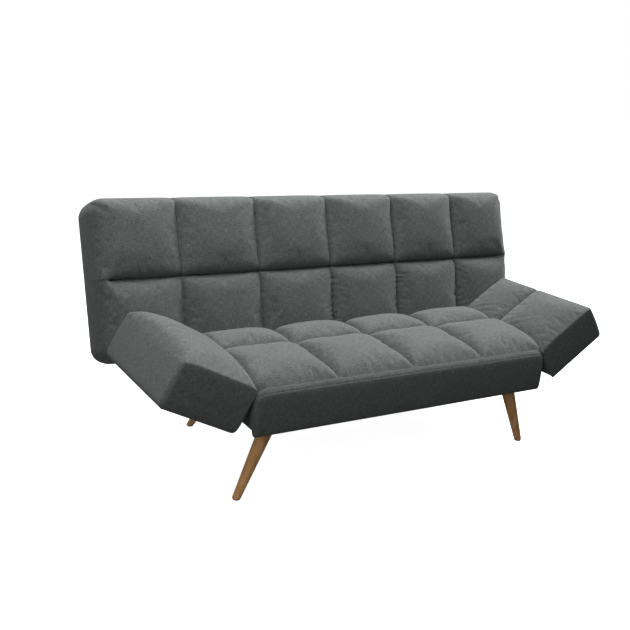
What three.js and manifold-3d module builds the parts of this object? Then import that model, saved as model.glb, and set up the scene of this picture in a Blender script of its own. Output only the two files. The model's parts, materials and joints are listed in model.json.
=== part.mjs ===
// Futon sofa bed: a seat on splayed wooden legs, a click-clack backrest that
// reclines level with the seat, and two armrests on ratchet hinges.
// Millimetres, +Z up, the sofa faces -Y, +X is the viewer's right.
// The origin is on the floor under the middle of the bounding box.
import * as THREE from "three";
import * as BufferGeometryUtils from "three/addons/utils/BufferGeometryUtils.js";
import Module from "manifold-3d";

const wasm = await Module();
wasm.setup();

// ---------------------------------------------------------------- dimensions
const GAP = 0.3; // clearance left between pieces that touch
const CURVE_SEGMENTS = 5; // facets of each curve in an extruded outline

// seat
const SEAT_HALF_WIDTH = 598;
const SEAT_FRONT = -403; // y of the front face
const SEAT_REAR = 71; // y of the rear face
const SEAT_BOTTOM = 243;
const SEAT_SEAM = 389; // top edge seam
const SEAT_CROWN = 46; // how far the pad rises above its edge seam
const BORDER = 22; // thickness of the padded border around the frame
const RAIL_TOP = 320;
const RAIL_THICKNESS = 24;
const SPRING_COUNT = 4;

// underframe and legs
const BEARER_X = 450; // centre line of each bearer
const BEARER_WIDTH = 40;
const BEARER_HEIGHT = 26;
const BEARER_REAR = 185;
const LEG_TOP_RADIUS = 27;
const LEG_FOOT_RADIUS = 14.5;
const LEG_SIDES = 24;
const FRONT_LEG = { topX: 508, topY: -327, footX: 607, footY: -328 };
const REAR_LEG = { topX: 450, topY: 145, footX: 517, footY: 259 };
const PLATE_THICKNESS = 3;
const GLIDE_HEIGHT = 5;

// backrest, in its own frame: y is the depth behind the front seam plane, z
// runs up the slope, and the frame is turned back by RECLINE
const RECLINE = THREE.MathUtils.degToRad(18.2);
const BACK_ORIGIN = { y: 95, z: 400 };
const BACK_HALF_WIDTH = 902;
const BACK_FOOT = -52;
const BACK_HEAD = 502;
const BACK_CROWN = 14; // how far the pad stands proud of the front seam plane
const BACK_FRAME_FRONT = 104; // depth of the frame behind the seam plane
const BACK_FRAME_THICKNESS = 32;
const BACK_MEMBER = 42; // width of each rail and stile
const BACK_DEPTH = 165;
const BACK_CORNER = 48;

// click-clack hinges of the back, on one axis
const BACK_PIVOT = { y: 138, z: 370 };
const BACK_HINGE_X = 551;
const LEAF = 4; // thickness of every hinge plate
const PIN_RADIUS = 5;
const BORE_RADIUS = 5.08;
const ROUND_SIDES = 32; // sides of every pin and bore
const EYE_RADIUS = 12;

// armrests, in their own frame: x outward from the pivot, z up
const ARM_PIVOT_X = 600;
const ARM_PIVOT_Z = 367;
const ARM_ANGLE_LEFT = THREE.MathUtils.degToRad(26.4);
const ARM_ANGLE_RIGHT = THREE.MathUtils.degToRad(33);
const ARM_WIDTH = 276;
const ARM_DROP = 118; // pivot to underside
const ARM_CROWN = 30;
const ARM_HINGE_Y = [-307, -27];
const ARM_EYE_RADIUS = 9;
const ARM_BOARD = { inner: 40, inset: 14, thickness: 12 }; // the padding wraps round its edges

// ----------------------------------------------------------------- materials
const finish = (color, roughness, metalness = 0) =>
  new THREE.MeshStandardMaterial({ color, roughness, metalness });
const FABRIC = () => finish(0x5f6362, 0.92);
const WALNUT = () => finish(0x8a6544, 0.5);
const PINE = () => finish(0xc9a878, 0.7);
const PLYWOOD = () => finish(0xb99a6c, 0.75);
const STEEL = () => finish(0x2a2b2d, 0.5, 0.6);
const ZINC = () => finish(0x9b9da0, 0.38, 0.9);
const SPRING_STEEL = () => finish(0x77797c, 0.35, 0.9);
const DUST_CLOTH = () => finish(0x161617, 0.95);
const PLASTIC = () => finish(0x141414, 0.6);

// ------------------------------------------------------------------- helpers
const root = new THREE.Group();

function add(parent, name, geometry, material) {
  const mesh = new THREE.Mesh(geometry, material);
  mesh.name = name;
  parent.add(mesh);
  return mesh;
}

// a box given by its low and high coordinate along each axis
function slab([x0, x1], [y0, y1], [z0, z1]) {
  const box = new THREE.BoxGeometry(x1 - x0, y1 - y0, z1 - z0);
  return box.translate((x0 + x1) / 2, (y0 + y1) / 2, (z0 + z1) / 2);
}

// a span that lies to the right (side 1) or to the left (side -1) of the middle
const mirrored = (side, near, far) => (side > 0 ? [near, far] : [-far, -near]);

// an outline in the X-Z plane, extruded along +Y between two depths
function extrudeAlongY(shape, y0, y1) {
  const body = new THREE.ExtrudeGeometry(shape, {
    depth: y1 - y0,
    bevelEnabled: false,
    curveSegments: CURVE_SEGMENTS,
  });
  // the extrusion runs along +Z: stand it up so that it runs along +Y
  return body.rotateX(Math.PI / 2).translate(0, y1, 0);
}

// an outline in the Y-Z plane, extruded along +X between two sides
function extrudeAlongX(shape, x0, x1) {
  const body = new THREE.ExtrudeGeometry(shape, {
    depth: x1 - x0,
    bevelEnabled: false,
    curveSegments: CURVE_SEGMENTS,
  });
  // outline x becomes Y, outline y becomes Z, and the depth becomes X
  body.applyMatrix4(new THREE.Matrix4().set(0, 0, 1, x0, 1, 0, 0, 0, 0, 1, 0, 0, 0, 0, 0, 1));
  return body;
}

function polygon(points) {
  return new THREE.Shape(points.map(([a, b]) => new THREE.Vector2(a, b)));
}

function toSolid(geometry) {
  const bare = geometry.clone();
  bare.deleteAttribute("normal");
  bare.deleteAttribute("uv");
  const merged = BufferGeometryUtils.mergeVertices(bare, 1e-4);
  return new wasm.Manifold(
    new wasm.Mesh({
      numProp: 3,
      vertProperties: merged.attributes.position.array,
      triVerts: new Uint32Array(merged.index.array),
    }),
  );
}

function toGeometry(solid) {
  const mesh = solid.getMesh();
  const geometry = new THREE.BufferGeometry();
  geometry.setAttribute("position", new THREE.BufferAttribute(mesh.vertProperties, 3));
  geometry.setIndex(new THREE.BufferAttribute(mesh.triVerts, 1));
  geometry.computeVertexNormals();
  return geometry;
}

function cut(geometry, ...tools) {
  return toGeometry(tools.reduce((body, tool) => body.subtract(toSolid(tool)), toSolid(geometry)));
}

function join(...geometries) {
  return toGeometry(geometries.map(toSolid).reduce((a, b) => a.add(b)));
}

// a cylinder along X or Y through a point, from one coordinate to another
function rodAlongX(radius, x0, x1, y, z) {
  const rod = new THREE.CylinderGeometry(radius, radius, x1 - x0, ROUND_SIDES);
  return rod.rotateZ(Math.PI / 2).translate((x0 + x1) / 2, y, z);
}

function rodAlongY(radius, y0, y1, x, z) {
  const rod = new THREE.CylinderGeometry(radius, radius, y1 - y0, ROUND_SIDES);
  return rod.translate(x, (y0 + y1) / 2, z);
}

// a round taper whose ends stay level while its axis leans from foot to top
function leaningTaper(foot, top, footRadius, topRadius) {
  const height = top.z - foot.z;
  const taper = new THREE.CylinderGeometry(topRadius, footRadius, height, LEG_SIDES);
  taper.rotateX(Math.PI / 2).translate(0, 0, height / 2);
  const leanX = (top.x - foot.x) / height;
  const leanY = (top.y - foot.y) / height;
  taper.applyMatrix4(
    new THREE.Matrix4().set(1, 0, leanX, foot.x, 0, 1, leanY, foot.y, 0, 0, 1, foot.z, 0, 0, 0, 1),
  );
  return taper;
}

// ---------------------------------------------------------------------- seat
// pockets for the arm hinges in everything that runs along the seat's sides
const ARM_POCKET = { inner: 560, low: 250, halfLength: 27 };

function armPockets(side) {
  return ARM_HINGE_Y.map((y) =>
    slab(
      mirrored(side, ARM_POCKET.inner, ARM_PIVOT_X + 60),
      [y - ARM_POCKET.halfLength, y + ARM_POCKET.halfLength],
      [ARM_POCKET.low, SEAT_SEAM + 60],
    ),
  );
}

// Side-to-side outline of the seat pad: its top edges fall away at the sides,
// so that a raised arm has room to swing over the pivot.
function seatPad() {
  const low = RAIL_TOP + GAP;
  const crest = SEAT_SEAM + SEAT_CROWN;
  const sideRecess = 14;
  const shoulder = 60; // the top's curve turns level this far in, and ends past it
  const across = new THREE.Shape();
  across.moveTo(-SEAT_HALF_WIDTH, low);
  across.lineTo(SEAT_HALF_WIDTH, low);
  across.lineTo(SEAT_HALF_WIDTH, ARM_PIVOT_Z);
  across.lineTo(SEAT_HALF_WIDTH - sideRecess, SEAT_SEAM);
  across.quadraticCurveTo(
    SEAT_HALF_WIDTH - shoulder, crest, SEAT_HALF_WIDTH - 2.5 * shoulder, crest);
  across.lineTo(-SEAT_HALF_WIDTH + 2.5 * shoulder, crest);
  across.quadraticCurveTo(
    -SEAT_HALF_WIDTH + shoulder, crest, -SEAT_HALF_WIDTH + sideRecess, SEAT_SEAM);
  across.lineTo(-SEAT_HALF_WIDTH, ARM_PIVOT_Z);

  const along = new THREE.Shape();
  along.moveTo(SEAT_FRONT, low);
  along.lineTo(SEAT_REAR, low);
  along.lineTo(SEAT_REAR, SEAT_SEAM - 20);
  along.quadraticCurveTo(SEAT_REAR - 6, SEAT_SEAM + 24, SEAT_REAR - 60, SEAT_SEAM + 30);
  along.quadraticCurveTo(SEAT_REAR - 200, crest + 4, SEAT_FRONT + 2 * shoulder, crest);
  along.quadraticCurveTo(SEAT_FRONT + 26, crest, SEAT_FRONT, SEAT_SEAM);

  const long = toSolid(extrudeAlongX(along, -SEAT_HALF_WIDTH - 1, SEAT_HALF_WIDTH + 1));
  const wide = toSolid(extrudeAlongY(across, SEAT_FRONT - 1, SEAT_REAR + 1));
  const body = toGeometry(long.intersect(wide));
  const sides = [-1, 1];
  return cut(body, ...sides.flatMap(armPockets), ...sides.map(backBracketSlot));
}

// the way that a back hinge's seat bracket takes out of the seat's rear
function backBracketSlot(side) {
  return slab(
    mirrored(side, BACK_HINGE_X - LEAF - 4, BACK_HINGE_X + 4),
    [SEAT_REAR - 60, SEAT_REAR + 60],
    [SEAT_BOTTOM + 20, BACK_PIVOT.z + EYE_RADIUS + 3],
  );
}

function buildSeatFrame() {
  const sideInner = SEAT_HALF_WIDTH - BORDER - GAP - RAIL_THICKNESS;
  const sideOuter = sideInner + RAIL_THICKNESS;
  const front = SEAT_FRONT + BORDER + GAP;
  const rear = SEAT_REAR - BORDER - GAP;
  const z = [SEAT_BOTTOM + 2, RAIL_TOP];
  const crossEnd = sideInner - LEAF - 2; // cross rails stop short of the bracket plates
  const cross = [-crossEnd, crossEnd];
  add(root, "seat_front_rail", slab(cross, [front, front + RAIL_THICKNESS], z), PINE());
  add(root, "seat_rear_rail", slab(cross, [rear - RAIL_THICKNESS, rear], z), PINE());
  for (const [side, word] of [[-1, "left"], [1, "right"]]) {
    const rail = slab(mirrored(side, sideInner, sideOuter), [front, rear], z);
    add(root, `seat_${word}_rail`, rail, PINE());
  }
  const inside = [front + RAIL_THICKNESS + GAP, rear - RAIL_THICKNESS - GAP];
  add(root, "seat_centre_rail", slab([-12, 12], inside, [z[0], RAIL_TOP - 22]), PINE());
  for (let i = 0; i < SPRING_COUNT; i += 1) {
    const x = (i - (SPRING_COUNT - 1) / 2) * 270;
    add(root, `seat_spring_${i + 1}`, sinuousSpring(x, inside), SPRING_STEEL());
  }
}

// a zigzag wire that lies flat between the front and rear rails
function sinuousSpring(x, [y0, y1]) {
  const wire = 2.2;
  const turns = 9;
  const halfWidth = 24;
  const pitch = (y1 - y0 - 4 * wire) / turns;
  const points = [];
  for (let i = 0; i <= turns; i += 1) {
    const y = y0 + 2 * wire + i * pitch;
    const side = i % 2 ? 1 : -1;
    points.push(new THREE.Vector3(x + side * halfWidth, y - pitch * 0.16, RAIL_TOP - 10));
    points.push(new THREE.Vector3(x + side * halfWidth, y + pitch * 0.16, RAIL_TOP - 10));
  }
  points[0].y = y0 + 2 * wire;
  points[points.length - 1].y = y1 - 2 * wire;
  const section = new THREE.Shape();
  section.absarc(0, 0, wire, 0, 2 * Math.PI);
  return new THREE.ExtrudeGeometry(section, {
    extrudePath: new THREE.CatmullRomCurve3(points, false, "centripetal"),
    steps: turns * 6,
    curveSegments: 3,
    bevelEnabled: false,
  });
}

function buildSeatCovering() {
  add(root, "seat_pad", seatPad(), FABRIC());
  const z = [SEAT_BOTTOM, RAIL_TOP];
  const radius = 12;
  const front = new THREE.Shape();
  front.moveTo(SEAT_FRONT + BORDER, z[0]);
  front.lineTo(SEAT_FRONT + BORDER, z[1]);
  front.lineTo(SEAT_FRONT, z[1]);
  front.lineTo(SEAT_FRONT, z[0] + radius);
  front.absarc(SEAT_FRONT + radius, z[0] + radius, radius, Math.PI, 1.5 * Math.PI);
  const frontBorder = extrudeAlongX(front, -SEAT_HALF_WIDTH, SEAT_HALF_WIDTH);
  add(root, "seat_front_border", frontBorder, FABRIC());
  const rearEnd = BACK_HINGE_X - LEAF - 6;
  const rearBorder = slab([-rearEnd, rearEnd], [SEAT_REAR - BORDER, SEAT_REAR], z);
  add(root, "seat_rear_border", rearBorder, FABRIC());
  for (const [side, word] of [[-1, "left"], [1, "right"]]) {
    const border = slab(
      mirrored(side, SEAT_HALF_WIDTH - BORDER, SEAT_HALF_WIDTH),
      [SEAT_FRONT + BORDER + GAP, SEAT_REAR],
      z,
    );
    add(root, `seat_${word}_border`, cut(border, ...armPockets(side)), FABRIC());
  }
  const cloth = slab(
    [-SEAT_HALF_WIDTH + BORDER + GAP, SEAT_HALF_WIDTH - BORDER - GAP],
    [SEAT_FRONT + BORDER + GAP, SEAT_REAR - BORDER - GAP],
    [SEAT_BOTTOM, SEAT_BOTTOM + 1.5],
  );
  add(root, "seat_dust_cover", cloth, DUST_CLOTH());
}

// ---------------------------------------------------------- underframe, legs
function buildUnderframe() {
  const top = SEAT_BOTTOM - GAP;
  const z = [top - BEARER_HEIGHT, top];
  for (const [side, word] of [[-1, "left"], [1, "right"]]) {
    const x = mirrored(side, BEARER_X - BEARER_WIDTH / 2, BEARER_X + BEARER_WIDTH / 2);
    add(root, `bearer_${word}`, slab(x, [SEAT_FRONT + 110, BEARER_REAR], z), STEEL());
  }
  const inner = BEARER_X - BEARER_WIDTH / 2 - GAP;
  const tube = slab([-inner, inner], [BEARER_REAR - 32, BEARER_REAR], z);
  add(root, "rear_cross_tube", tube, STEEL());
}

function buildLeg(side, place, word, leg, ceiling) {
  const name = `${place}_${word}`;
  const plateHalf = 36;
  const top = { x: side * leg.topX, y: leg.topY, z: ceiling - GAP - PLATE_THICKNESS - GAP };
  const foot = { x: side * leg.footX, y: leg.footY, z: GLIDE_HEIGHT + GAP };
  const plate = slab(
    [top.x - plateHalf, top.x + plateHalf],
    [top.y - plateHalf, top.y + plateHalf],
    [ceiling - GAP - PLATE_THICKNESS, ceiling - GAP],
  );
  add(root, `leg_plate_${name}`, plate, STEEL());
  const wood = leaningTaper(foot, top, LEG_FOOT_RADIUS, LEG_TOP_RADIUS);
  add(root, `leg_${name}`, wood, WALNUT());
  const glide = new THREE.CylinderGeometry(13, 11.5, GLIDE_HEIGHT, 20);
  glide.rotateX(Math.PI / 2).translate(foot.x, foot.y, GLIDE_HEIGHT / 2);
  add(root, `leg_glide_${name}`, glide, PLASTIC());
}

function buildLegs() {
  for (const [side, word] of [[-1, "left"], [1, "right"]]) {
    buildLeg(side, "front", word, FRONT_LEG, SEAT_BOTTOM);
    buildLeg(side, "rear", word, REAR_LEG, SEAT_BOTTOM - GAP - BEARER_HEIGHT);
  }
}

// ------------------------------------------------------------------ backrest
const back = new THREE.Group();
back.position.set(0, BACK_ORIGIN.y, BACK_ORIGIN.z);
back.rotation.x = -RECLINE;
root.add(back);

// the back pivot in the backrest's own frame
function pivotInBack() {
  const dy = BACK_PIVOT.y - BACK_ORIGIN.y;
  const dz = BACK_PIVOT.z - BACK_ORIGIN.z;
  const [c, s] = [Math.cos(RECLINE), Math.sin(RECLINE)];
  return { y: dy * c - dz * s, z: dy * s + dz * c };
}

// the five members of the back frame, each a span along x, y and z
function backFrameMembers() {
  const y = [BACK_FRAME_FRONT, BACK_FRAME_FRONT + BACK_FRAME_THICKNESS];
  const low = BACK_FOOT + 26;
  const high = BACK_HEAD - 40;
  const end = BACK_HALF_WIDTH - 70;
  const span = [low + BACK_MEMBER + GAP, high - BACK_MEMBER - GAP];
  const stileInner = BACK_HINGE_X + LEAF + GAP;
  const stile = (side) => mirrored(side, stileInner, stileInner + BACK_MEMBER);
  return {
    back_bottom_rail: [[-end, end], y, [low, low + BACK_MEMBER]],
    back_top_rail: [[-end, end], y, [high - BACK_MEMBER, high]],
    back_centre_stile: [[-BACK_MEMBER / 2, BACK_MEMBER / 2], y, span],
    back_left_stile: [stile(-1), y, span],
    back_right_stile: [stile(1), y, span],
  };
}

function buildBackFrame() {
  for (const [name, spans] of Object.entries(backFrameMembers())) {
    add(back, name, slab(...spans), PINE());
  }
}

// Rounded slab: the outline runs across and up the slope, and the front edge
// is drawn in with a bevel so that the face stands proud of the edge seam.
function roundedSlab(inset, y0, y1, bevel) {
  const w = BACK_HALF_WIDTH - inset;
  const [z0, z1] = [BACK_FOOT + inset, BACK_HEAD - inset];
  const r = BACK_CORNER - inset;
  const outline = new THREE.Shape();
  outline.moveTo(-w + r, z0);
  outline.lineTo(w - r, z0);
  outline.absarc(w - r, z0 + r, r, -Math.PI / 2, 0);
  outline.lineTo(w, z1 - r);
  outline.absarc(w - r, z1 - r, r, 0, Math.PI / 2);
  outline.lineTo(-w + r, z1);
  outline.absarc(-w + r, z1 - r, r, Math.PI / 2, Math.PI);
  outline.lineTo(-w, z0 + r);
  outline.absarc(-w + r, z0 + r, r, Math.PI, 1.5 * Math.PI);
  const body = new THREE.ExtrudeGeometry(outline, {
    depth: y1 - y0 - 2 * bevel,
    bevelEnabled: true,
    bevelSize: bevel,
    bevelThickness: bevel,
    bevelOffset: -bevel,
    bevelSegments: 3,
    curveSegments: CURVE_SEGMENTS,
  });
  return body.rotateX(Math.PI / 2).translate(0, y1 - bevel, 0);
}

function buildBackCovering() {
  const { z } = pivotInBack();
  const notches = [-1, 1].map((side) =>
    slab(
      mirrored(side, BACK_HINGE_X - LEAF - 6, BACK_HINGE_X + LEAF + 6),
      [-BACK_CROWN - 5, BACK_DEPTH],
      [BACK_FOOT - 10, z + EYE_RADIUS + 8],
    ),
  );
  // The pad is cut flat behind, with grooves that the frame lies in.
  const wide = BACK_HALF_WIDTH + 10;
  const tall = [BACK_FOOT - 10, BACK_HEAD + 10];
  const padRear = BACK_FRAME_FRONT + BACK_FRAME_THICKNESS;
  const behind = slab([-wide, wide], [padRear, BACK_DEPTH + 90], tall);
  const grooves = Object.values(backFrameMembers()).map(([x, y, z]) =>
    slab([x[0] - GAP, x[1] + GAP], [y[0] - GAP, y[1] + 20], [z[0] - GAP, z[1] + GAP]),
  );
  const pad = roundedSlab(0, -BACK_CROWN, padRear + 50, 44);
  add(back, "back_pad", cut(pad, behind, ...grooves, ...notches), FABRIC());
  const shell = roundedSlab(2, padRear - 40, BACK_DEPTH, 18);
  const ahead = slab([-wide, wide], [-60, padRear + GAP], tall);
  add(back, "back_rear_panel", cut(shell, ahead), FABRIC());
}

// ------------------------------------------------- click-clack back hinges
function buildBackHinge(side, word) {
  const seatX = mirrored(side, BACK_HINGE_X - LEAF, BACK_HINGE_X);
  const backX = mirrored(side, BACK_HINGE_X + GAP, BACK_HINGE_X + GAP + LEAF);
  const { y, z } = BACK_PIVOT;
  const bore = rodAlongX(BORE_RADIUS, seatX[0] - 2, seatX[1] + 2, y, z);

  // seat bracket: lies on the side rail's inner face and reaches back to the eye
  const arm = polygon([
    [SEAT_REAR - 150, SEAT_BOTTOM + 8],
    [SEAT_REAR - 24, SEAT_BOTTOM + 30],
    [y + EYE_RADIUS * 0.55, z - EYE_RADIUS * 0.83],
    [y - EYE_RADIUS * 0.3, z + EYE_RADIUS * 0.95],
    [SEAT_REAR - 60, RAIL_TOP - 6],
    [SEAT_REAR - 150, RAIL_TOP - 6],
  ]);
  const seatPlate = join(
    extrudeAlongX(arm, seatX[0], seatX[1]),
    rodAlongX(EYE_RADIUS, seatX[0], seatX[1], y, z),
  );
  add(root, `back_hinge_${word}_seat_bracket`, cut(seatPlate, bore), ZINC());

  // back bracket: an eye on the same axis and a foot on the front of the stile
  const p = pivotInBack();
  const foot = polygon([
    [p.y - EYE_RADIUS * 0.6, p.z + EYE_RADIUS * 0.8],
    [p.y + EYE_RADIUS * 0.2, p.z - EYE_RADIUS * 0.97],
    [BACK_FRAME_FRONT - 1, p.z - 14],
    [BACK_FRAME_FRONT - 1, p.z + 15],
  ]);
  const backPlate = join(
    extrudeAlongX(foot, backX[0], backX[1]),
    rodAlongX(EYE_RADIUS, backX[0], backX[1], p.y, p.z),
  );
  const backBore = rodAlongX(BORE_RADIUS, backX[0] - 2, backX[1] + 2, p.y, p.z);
  add(back, `back_hinge_${word}_back_bracket`, cut(backPlate, backBore), ZINC());

  const pinX = mirrored(side, BACK_HINGE_X - LEAF - 2, BACK_HINGE_X + GAP + LEAF + 2);
  add(root, `back_hinge_${word}_pin`, rodAlongX(PIN_RADIUS, pinX[0], pinX[1], y, z), STEEL());
}

// ------------------------------------------------------------------ armrests
// Side-to-side outline of the arm pad, x outward from the pivot. Its inner top
// edge slopes away from the pivot so that the arm can swing up past the seat.
function armPad(side) {
  const top = SEAT_SEAM - ARM_PIVOT_Z;
  const crest = top + ARM_CROWN;
  const low = -ARM_DROP + ARM_BOARD.thickness + GAP;
  const w = ARM_WIDTH;
  const s = side;
  const outline = new THREE.Shape();
  outline.moveTo(2 * s, low);
  outline.lineTo(2 * s, 0);
  outline.lineTo((2 + top) * s, top);
  outline.quadraticCurveTo(70 * s, crest, 120 * s, crest);
  outline.lineTo((w - 100) * s, crest - 2);
  outline.quadraticCurveTo((w - 24) * s, crest - 4, w * s, top - 8);
  outline.lineTo(w * s, low);
  const pockets = ARM_HINGE_Y.map((y) =>
    slab(
      mirrored(s, -20, ARM_BOARD.inner + 28),
      [y - ARM_POCKET.halfLength, y + ARM_POCKET.halfLength],
      [-ARM_DROP - 20, crest + 5],
    ),
  );
  return cut(extrudeAlongY(outline, SEAT_FRONT + 2, SEAT_REAR - 2), ...pockets);
}

function buildArm(side, word, angle) {
  const arm = new THREE.Group();
  arm.position.set(side * ARM_PIVOT_X, 0, ARM_PIVOT_Z);
  arm.rotation.y = -side * angle;
  root.add(arm);
  const boardTop = -ARM_DROP + ARM_BOARD.thickness;
  const board = slab(
    mirrored(side, ARM_BOARD.inner, ARM_WIDTH - ARM_BOARD.inset),
    [SEAT_FRONT + ARM_BOARD.inset, SEAT_REAR - ARM_BOARD.inset],
    [-ARM_DROP, boardTop],
  );
  add(arm, `arm_${word}_board`, board, PLYWOOD());
  add(arm, `arm_${word}_pad`, armPad(side), FABRIC());

  ARM_HINGE_Y.forEach((y, i) => {
    const place = i === 0 ? "front" : "rear";
    buildArmHinge(arm, side, `arm_${word}_hinge_${place}`, y, boardTop);
  });
}

// ratchet hinge: the seat leaf's eye sits between the arm leaf's two eyes
function buildArmHinge(arm, side, name, y, boardTop) {
  const eye = 14; // width of the middle eye
  const x = side * ARM_PIVOT_X;
  const z = ARM_PIVOT_Z;
  const railFace = SEAT_HALF_WIDTH - BORDER;
  const bore = (cx, cz) => rodAlongY(BORE_RADIUS, y - 30, y + 30, cx, cz);

  // seat leaf: upright plate against the side rail with a tab to the eye
  const seatLeaf = join(
    slab(mirrored(side, railFace, railFace + LEAF), [y - 16, y + 16], [ARM_POCKET.low + 6, z + 3]),
    slab(mirrored(side, railFace, ARM_PIVOT_X - 6), [y - eye / 2, y + eye / 2], [z - 5, z + 3]),
    rodAlongY(ARM_EYE_RADIUS, y - eye / 2, y + eye / 2, x, z),
  );
  add(root, `${name}_seat_leaf`, cut(seatLeaf, bore(x, z)), ZINC());

  // arm leaf: two eyes, a web stepped in past the arm's inner end, a foot on the board
  const outer = eye / 2 + GAP;
  const eyes = [[y - outer - 8, y - outer], [y + outer, y + outer + 8]];
  const width = [y - outer - 8, y + outer + 8];
  const step = -52; // height of the step, below the pivot
  const footX = ARM_BOARD.inner;
  const armLeaf = join(
    ...eyes.map(([a, b]) => rodAlongY(ARM_EYE_RADIUS, a, b, 0, 0)),
    ...eyes.map(([a, b]) => slab(mirrored(side, 6, 9 + LEAF), [a, b], [-5, 3])),
    slab(mirrored(side, 9, 9 + LEAF), width, [step, -2]),
    slab(mirrored(side, 9, footX + LEAF), width, [step, step + LEAF]),
    slab(mirrored(side, footX, footX + LEAF), width, [boardTop + GAP, step + LEAF]),
    slab(mirrored(side, footX, footX + 24), width, [boardTop + GAP, boardTop + GAP + LEAF]),
  );
  add(arm, `${name}_arm_leaf`, cut(armLeaf, bore(0, 0)), ZINC());
  add(root, `${name}_pin`, rodAlongY(PIN_RADIUS, y - outer - 10, y + outer + 10, x, z), STEEL());
}

// ------------------------------------------------------------------ assembly
buildSeatFrame();
buildSeatCovering();
buildUnderframe();
buildLegs();
buildBackFrame();
buildBackCovering();
for (const [side, word] of [[-1, "left"], [1, "right"]]) {
  buildBackHinge(side, word);
}
buildArm(-1, "left", ARM_ANGLE_LEFT);
buildArm(1, "right", ARM_ANGLE_RIGHT);

export default root;
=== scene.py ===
"""Futon sofa bed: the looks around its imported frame. Metres, +Z up, the sofa faces -Y."""
import json
import math

import bpy
import numpy as np
from mathutils import Matrix, Vector, noise


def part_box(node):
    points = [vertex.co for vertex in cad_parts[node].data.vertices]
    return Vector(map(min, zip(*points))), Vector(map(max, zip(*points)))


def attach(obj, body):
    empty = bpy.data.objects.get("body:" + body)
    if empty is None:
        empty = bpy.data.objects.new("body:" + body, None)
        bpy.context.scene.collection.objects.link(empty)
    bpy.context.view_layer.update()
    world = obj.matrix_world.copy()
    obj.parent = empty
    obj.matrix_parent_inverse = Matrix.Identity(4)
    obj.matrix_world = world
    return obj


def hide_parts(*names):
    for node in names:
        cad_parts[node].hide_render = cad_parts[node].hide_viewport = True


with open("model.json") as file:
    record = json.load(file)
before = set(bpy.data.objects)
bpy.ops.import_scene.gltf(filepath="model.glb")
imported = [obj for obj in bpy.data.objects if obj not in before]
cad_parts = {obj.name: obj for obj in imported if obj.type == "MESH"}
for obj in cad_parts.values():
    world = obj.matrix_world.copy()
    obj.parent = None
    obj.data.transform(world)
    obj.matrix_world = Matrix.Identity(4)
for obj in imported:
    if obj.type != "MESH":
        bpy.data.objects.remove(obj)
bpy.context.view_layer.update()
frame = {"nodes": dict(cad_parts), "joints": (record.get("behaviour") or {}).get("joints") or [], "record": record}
JOINTS = {joint["name"]: joint for joint in frame["joints"]}
SIDES = (("left", -1), ("right", 1))

# camera, as the photograph was taken
CAMERA_PLACE = (-1.759, -2.561, 1.352)
CAMERA_HEADING = 32.0  # degrees from +Y towards +X
CAMERA_DIP = 16.1  # degrees below the horizon
CAMERA_ROLL = 4.3
CAMERA_LENS = 49.8
CAMERA_SENSOR = 36.0

# cloth
GRID_STEP = 0.0072  # spacing of the grid that a cushion's face is made of
CLOTH_FRAMES = 20
CLOTH_QUALITY = 5
CLOTH_MASS = 0.3
CLOTH_STIFFNESS = 15.0
CLOTH_BENDING = 0.4
CLOTH_PRESSURE = 4.0
CLOTH_CAP = 0.026  # how far a point may move while a cushion fills
SIDE_RINGS = 24  # points down the side of the back and of each arm
GROOVE_WIDTH = 0.0055  # of the valley along a line of stitches


# ------------------------------------------------------------------ local frames
class Local:
    """A cushion's own axes: a across, b along, h out of its padded face."""

    def __init__(self, origin, a, b, h):
        self.origin = np.array(origin, float)
        self.axes = np.array([a, b, h], float)

    def to_world(self, points):
        return np.asarray(points) @ self.axes + self.origin

    def to_local(self, points):
        return (np.asarray(points) - self.origin) @ self.axes.T

    def box(self, *nodes):
        """The lowest and highest a, b and h of some CAD nodes."""
        found = []
        for node in nodes:
            mesh = frame["nodes"][node].data
            co = np.zeros(len(mesh.vertices) * 3, np.float32)
            mesh.vertices.foreach_get("co", co)
            found.append(self.to_local(co.reshape(-1, 3)))
        found = np.concatenate(found)
        return found.min(0), found.max(0)


def back_frame():
    joint = JOINTS["back_recline"]
    recline = math.radians(90 - joint["range_deg"][1])  # it lies level at its upper limit
    c, s = math.cos(recline), math.sin(recline)
    return Local(joint["pos_m"], (1, 0, 0), (0, s, c), (0, -c, s))


def arm_frame(word, side):
    joint = JOINTS[f"arm_{word}_raise"]
    raised = math.radians(-joint["range_deg"][0])  # it lies level at its lower limit
    c, s = math.cos(raised), math.sin(raised)
    return Local(joint["pos_m"], (c, 0, side * s), (0, 1, 0), (-side * s, 0, c))


WORLD = Local((0, 0, 0), (1, 0, 0), (0, 1, 0), (0, 0, 1))


# ----------------------------------------------------------------- cushion building
def round_corners(a, b, low, high, radius):
    """Moves points of a rectangle into the same rectangle with round corners."""
    centre = [(low[i] + high[i]) / 2 for i in (0, 1)]
    half = [(high[i] - low[i]) / 2 for i in (0, 1)]
    da, db = a - centre[0], b - centre[1]
    qa = np.abs(da) - (half[0] - radius)
    qb = np.abs(db) - (half[1] - radius)
    corner = (qa > 0) & (qb > 0)
    reach = np.maximum(qa, qb)
    length = np.maximum(np.hypot(qa, qb), 1e-9)
    new_a = np.where(corner, qa * reach / length, qa)
    new_b = np.where(corner, qb * reach / length, qb)
    a = centre[0] + np.sign(da) * (half[0] - radius + new_a)
    b = centre[1] + np.sign(db) * (half[1] - radius + new_b)
    return a, b


def spaced(marks, step=GRID_STEP):
    """Grid lines from the first mark to the last, with one on every mark."""
    lines = [marks[0]]
    for start, stop in zip(marks, marks[1:]):
        count = max(2, round((stop - start) / step))
        lines.extend(np.linspace(start, stop, count + 1)[1:])
    return np.array(lines)


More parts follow.
